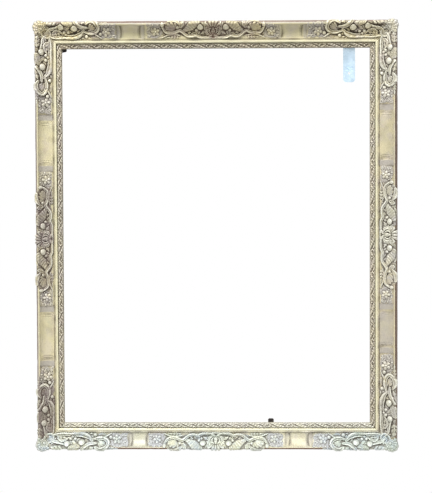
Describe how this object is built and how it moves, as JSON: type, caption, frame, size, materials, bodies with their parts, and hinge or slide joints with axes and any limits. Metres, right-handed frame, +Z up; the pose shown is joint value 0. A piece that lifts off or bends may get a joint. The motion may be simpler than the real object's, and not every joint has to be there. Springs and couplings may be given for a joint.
{
  "type": "ornate gilded picture frame",
  "caption": "Portrait gilded picture frame: hollow moulding, carved sight edge, shell corners, scroll sprays and palmette centres, rebate at the back, swivelling fixings and ring hangers.",
  "frame": {"origin": "centre of the opening, in the plane of the frame's back, which lies against the wall", "axes": "+Z up, +X to the right as the viewer sees it, -Y towards the viewer and +Y into the wall"},
  "size_m": [0.7006, 0.0499, 0.8306],
  "materials": {
    "gilt_moulding": "worn pale water gilding over bole",
    "gilt_sight_carving": "toned gilding with grey patina",
    "gilt_ornament": "toned gilding, rubbed on the high points",
    "bare_wood": "aged bare wood",
    "zinc_plate": "bright zinc plating with a blue cast",
    "black_steel": "black japanned",
    "hanger_steel": "dull nickel plating",
    "screw_steel": "aged steel"
  },
  "bodies": {
    "frame": {"bottom_rail": "gilt_moulding", "bottom_sight_strip": "gilt_sight_carving", "centre_spray_bottom_left": "gilt_ornament", "centre_spray_bottom_right": "gilt_ornament", "centre_spray_left_lower": "gilt_ornament", "centre_spray_left_upper": "gilt_ornament", "centre_spray_right_lower": "gilt_ornament", "centre_spray_right_upper": "gilt_ornament", "centre_spray_top_left": "gilt_ornament", "centre_spray_top_right": "gilt_ornament", "corner_key_bottom_left": "bare_wood", "corner_key_bottom_right": "bare_wood", "corner_key_top_left": "bare_wood", "corner_key_top_right": "bare_wood", "corner_shell_bottom_left": "gilt_ornament", "corner_shell_bottom_right": "gilt_ornament", "corner_shell_top_left": "gilt_ornament", "corner_shell_top_right": "gilt_ornament", "corner_spray_bottom_left_on_bottom": "gilt_ornament", "corner_spray_bottom_left_on_left": "gilt_ornament", "corner_spray_bottom_right_on_bottom": "gilt_ornament", "corner_spray_bottom_right_on_right": "gilt_ornament", "corner_spray_top_left_on_left": "gilt_ornament", "corner_spray_top_left_on_top": "gilt_ornament", "corner_spray_top_right_on_right": "gilt_ornament", "corner_spray_top_right_on_top": "gilt_ornament", "hanger_screws": "screw_steel", "hanger_strap_left": "hanger_steel", "hanger_strap_right": "hanger_steel", "left_rail": "gilt_moulding", "left_sight_strip": "gilt_sight_carving", "palmette_bottom": "gilt_ornament", "palmette_left": "gilt_ornament", "palmette_right": "gilt_ornament", "palmette_top": "gilt_ornament", "retaining_plate_screw": "screw_steel", "right_rail": "gilt_moulding", "right_sight_strip": "gilt_sight_carving", "top_rail": "gilt_moulding", "top_sight_strip": "gilt_sight_carving", "turn_button_screws": "screw_steel"},
    "retaining_plate": {"retaining_plate": "zinc_plate"},
    "turn_button_top": {"turn_button_top": "black_steel"},
    "turn_button_bottom": {"turn_button_bottom": "black_steel"},
    "hanger_ring_left": {"hanger_ring_left": "hanger_steel"},
    "hanger_ring_right": {"hanger_ring_right": "hanger_steel"}
  },
  "joints": [
    {"name": "retaining_plate_swivel", "type": "hinge", "parent": "frame", "child": "retaining_plate", "pos_m": [0.2557, 0.00075, 0.3795], "axis": [0, 1, 0], "continuous": true},
    {"name": "turn_button_top_swivel", "type": "hinge", "parent": "frame", "child": "turn_button_top", "pos_m": [-0.297, 0.001, 0.378], "axis": [0, 1, 0], "continuous": true},
    {"name": "turn_button_bottom_swivel", "type": "hinge", "parent": "frame", "child": "turn_button_bottom", "pos_m": [0.104, 0.001, -0.378], "axis": [0, 1, 0], "continuous": true},
    {"name": "hanger_ring_left_swing", "type": "hinge", "parent": "frame", "child": "hanger_ring_left", "pos_m": [-0.3245, 0.0028, 0.15], "axis": [1, 0, 0], "range_deg": [0, 180]},
    {"name": "hanger_ring_right_swing", "type": "hinge", "parent": "frame", "child": "hanger_ring_right", "pos_m": [0.3245, 0.0028, 0.15], "axis": [1, 0, 0], "range_deg": [0, 180]}
  ]
}
